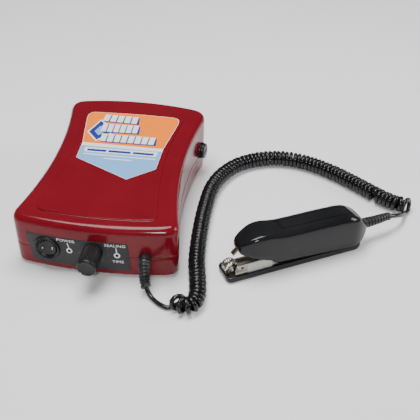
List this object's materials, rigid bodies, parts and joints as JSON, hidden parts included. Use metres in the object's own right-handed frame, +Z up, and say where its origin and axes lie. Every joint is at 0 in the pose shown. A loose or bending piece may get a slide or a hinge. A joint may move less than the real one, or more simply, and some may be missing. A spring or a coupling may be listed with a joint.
{
  "type": "hand-held ultrasonic film sealer",
  "caption": "Benchtop ultrasonic power unit joined by a curly cord to a stapler-shaped hand sealer with a horn blade over an anvil wheel.",
  "frame": {"origin": "near the middle of the power unit's base, on its flat underside, which its feet hold 1.5 mm above the surface", "axes": "+X to the right seen from the control panel, +Y to the back, +Z up; the handset lies to the right, turned 31 degrees"},
  "size_m": [0.3451, 0.2473, 0.0615],
  "materials": {
    "case_red": "deep red moulded case, glossy",
    "panel_charcoal": "charcoal, matt",
    "label_print": "printed film label, orange over pale blue",
    "black_plastic": "black, glossy",
    "black_rubber": "black, satin",
    "steel": "bright, satin",
    "chrome": "polished",
    "brass": "bright",
    "copper_wire": "enamelled copper",
    "board": "green solder mask",
    "ceramic": "fired ceramic",
    "lamp_lens": "dark lens",
    "plunger": "amber moulding"
  },
  "bodies": {
    "power_unit": {"top_shell": "case_red", "bottom_shell": "case_red", "front_panel": "panel_charcoal", "top_label": "label_print", "switch_body": "black_plastic", "dial_pot_body": "steel", "dial_nut": "brass", "power_lamp": "lamp_lens", "sealing_lamp": "lamp_lens", "unit_cord_boot": "black_rubber", "mains_inlet": "black_plastic", "inlet_pin_1": "steel", "inlet_pin_2": "steel", "inlet_pin_3": "steel", "fuse_holder": "black_plastic", "fuse_cap": "black_plastic", "fuse": "brass", "main_board": "board", "transformer_core": "steel", "transformer_winding": "copper_wire", "heat_sink": "steel", "capacitor_1": "black_plastic", "capacitor_2": "black_plastic", "power_transistor_1": "black_plastic", "power_transistor_2": "black_plastic", "output_coil": "copper_wire", "foot_1": "black_rubber", "foot_2": "black_rubber", "foot_3": "black_rubber", "foot_4": "black_rubber", "case_screw_1": "steel", "case_screw_2": "steel", "case_screw_3": "steel", "case_screw_4": "steel", "cord_lead_unit": "black_rubber", "cord_coil": "black_rubber", "cord_lead_handset": "black_rubber"},
    "rocker": {"rocker_button": "black_plastic"},
    "knob": {"time_dial": "black_plastic", "dial_shaft": "steel"},
    "handle": {"handle_shell": "black_plastic", "handle_top_panel": "black_plastic", "handle_chassis": "steel", "horn": "steel", "transducer_front_mass": "steel", "piezo_ring_1": "ceramic", "piezo_ring_2": "ceramic", "transducer_back_mass": "steel", "clamp_bolt": "steel", "trigger_switch": "black_plastic", "return_spring": "steel", "pivot_pin": "steel", "handset_cord_boot": "black_rubber"},
    "jaw_arm": {"lower_arm": "black_plastic", "anvil_bracket": "steel", "anvil_pin": "steel"},
    "anvil": {"anvil_wheel": "chrome"},
    "plunger": {"trigger_plunger": "plunger"}
  },
  "joints": [
    {"name": "rocker_rock", "type": "hinge", "parent": "power_unit", "child": "rocker", "pos_m": [-0.04014, -0.10204, 0.024], "axis": [0, 0, -1], "range_deg": [0, 18]},
    {"name": "knob_turn", "type": "hinge", "parent": "power_unit", "child": "knob", "pos_m": [0.0008, -0.10704, 0.0275], "axis": [-0.0023, 1, 0], "range_deg": [0, 300]},
    {"name": "handset_lift", "type": "slide", "parent": "power_unit", "child": "handle", "axis": [0, 0, 1], "range_m": [0, 0.12]},
    {"name": "jaw_squeeze", "type": "hinge", "parent": "handle", "child": "jaw_arm", "pos_m": [0.21442, -0.02828, 0.0095], "axis": [-0.515, 0.8572, 0], "range_deg": [0, 2.7], "stiffness_Nm_per_rad": 12, "springref_deg": -1.72, "deforming": ["return_spring"]},
    {"name": "anvil_turn", "type": "hinge", "parent": "jaw_arm", "child": "anvil", "pos_m": [0.11499, -0.08803, 0.0101], "axis": [-0.515, 0.8572, 0], "continuous": true},
    {"name": "plunger_slide", "type": "slide", "parent": "handle", "child": "plunger", "axis": [0, 0, 1], "range_m": [0, 0.001]}
  ],
  "couplings": [
    {"joint": "plunger_slide", "follows": "jaw_squeeze", "m_per_rad": 0.017}
  ]
}
